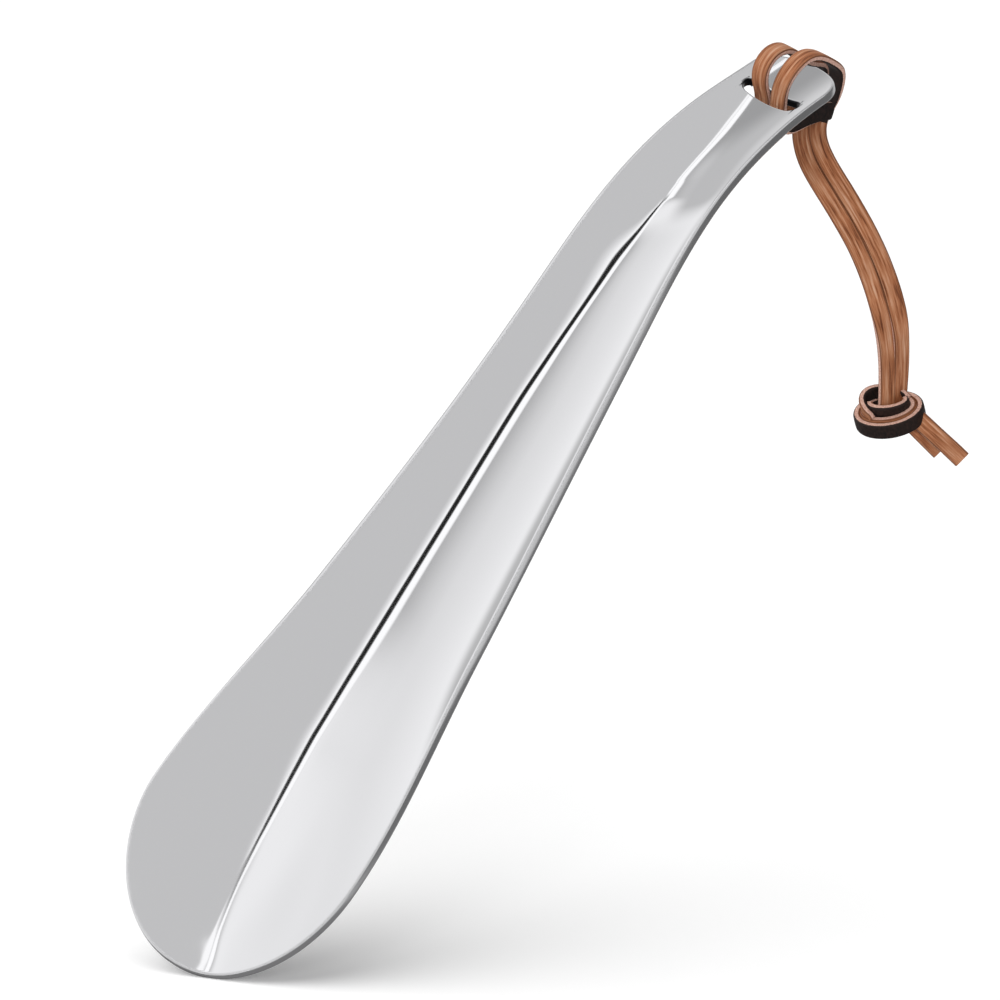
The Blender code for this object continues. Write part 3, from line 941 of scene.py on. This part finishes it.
# the two panels, with the gap where the curve puts it
gapEnds, gapTop = (-90, 90), 100
lightEnds, lightTop = (-200, 200), 2
lengthShare = addNode(worldTree, "ShaderNodeMapRange", values={"From Min": gapEnds[0], "From Max": gapEnds[1]},
                      links={"Value": ways["length"]})
gapCurve = addNode(worldTree, "ShaderNodeFloatCurve", links={"Value": lengthShare.outputs[0]})
setCurve(gapCurve, panels["gap"], gapEnds, gapTop)
ways["fromGap"] = addNode(worldTree, "ShaderNodeMath", {"operation": "MULTIPLY_ADD"}, {1: -gapTop},
                          {0: gapCurve.outputs[0], 2: ways["round"]}).outputs[0]
share = addNode(worldTree, "ShaderNodeMapRange", values={"From Min": lightEnds[0], "From Max": lightEnds[1]},
                links={"Value": ways["fromGap"]})
lightCurve = addNode(worldTree, "ShaderNodeFloatCurve", links={"Value": share.outputs[0]})
setCurve(lightCurve, panels["light"], lightEnds, lightTop, "VECTOR")
light = addNode(worldTree, "ShaderNodeMath", {"operation": "MULTIPLY"}, {1: lightTop},
                {0: lightCurve.outputs[0]})
awayFromGap = addNode(worldTree, "ShaderNodeMath", {"operation": "ABSOLUTE"}, links={0: ways["fromGap"]})
inGap = addNode(worldTree, "ShaderNodeMapRange",
                values={"From Min": panels["gapEdges"][0], "From Max": panels["gapEdges"][1]},
                links={"Value": awayFromGap.outputs[0]})
fade = addNode(worldTree, "ShaderNodeMapRange",
               values={"From Min": panels["gapFades"][0], "From Max": panels["gapFades"][1]},
               links={"Value": ways["length"]})
bridged = addNode(worldTree, "ShaderNodeMath", {"operation": "MULTIPLY"},
                  links={0: inGap.outputs[0], 1: fade.outputs[0]})
glow = addNode(worldTree, "ShaderNodeMix", values={3: panels["bridge"]},
               links={0: bridged.outputs[0], 2: light.outputs[0]})

# each zone draws the brightness to its own where all its limits hold
for brightness, limits in panels["zones"]:
    inside = None
    for key, start, full in limits:
        amount = addNode(worldTree, "ShaderNodeMapRange", {"interpolation_type": "SMOOTHSTEP"},
                         {"From Min": start, "From Max": full}, {"Value": ways[key]})
        if inside is not None:
            amount = addNode(worldTree, "ShaderNodeMath", {"operation": "MULTIPLY"},
                             links={0: inside.outputs[0], 1: amount.outputs[0]})
        inside = amount
    glow = addNode(worldTree, "ShaderNodeMix", values={3: brightness},
                   links={0: inside.outputs[0], 2: glow.outputs[0]})
behind = addNode(worldTree, "ShaderNodeMapRange", {"interpolation_type": "SMOOTHSTEP"},
                 {"From Min": panels["roomFrom"][0], "From Max": panels["roomFrom"][1]},
                 {"Value": ways["front"]})
room = addNode(worldTree, "ShaderNodeMapRange", values={
    "From Min": panels["roomHeights"][0], "From Max": panels["roomHeights"][1],
    "To Min": panels["roomLight"][0], "To Max": panels["roomLight"][1],
}, links={"Value": ways["height"]})
glow = addNode(worldTree, "ShaderNodeMix",
               links={0: behind.outputs[0], 2: glow.outputs[0], 3: room.outputs[0]})
worldPath = addNode(worldTree, "ShaderNodeLightPath")
seen = addNode(worldTree, "ShaderNodeMix", values={2: studio["fill"], 3: 1.0},
               links={0: worldPath.outputs["Is Camera Ray"]})
strength = addNode(worldTree, "ShaderNodeMix",
                   links={0: worldPath.outputs["Is Glossy Ray"], 2: seen.outputs[0], 3: glow.outputs[0]})
background.inputs["Color"].default_value = (1, 1, 1, 1)
worldTree.links.new(strength.outputs[0], background.inputs["Strength"])

for place, power, spread in studio["lamps"]:
    bpy.ops.object.light_add(type="SUN", location=place)
    lamp = bpy.context.object
    lamp.data.energy = power
    lamp.data.angle = math.radians(spread)
    lamp.rotation_euler = (-Vector(place)).to_track_quat("-Z", "Y").to_euler()
    lamp.visible_glossy = False
print("studio set")
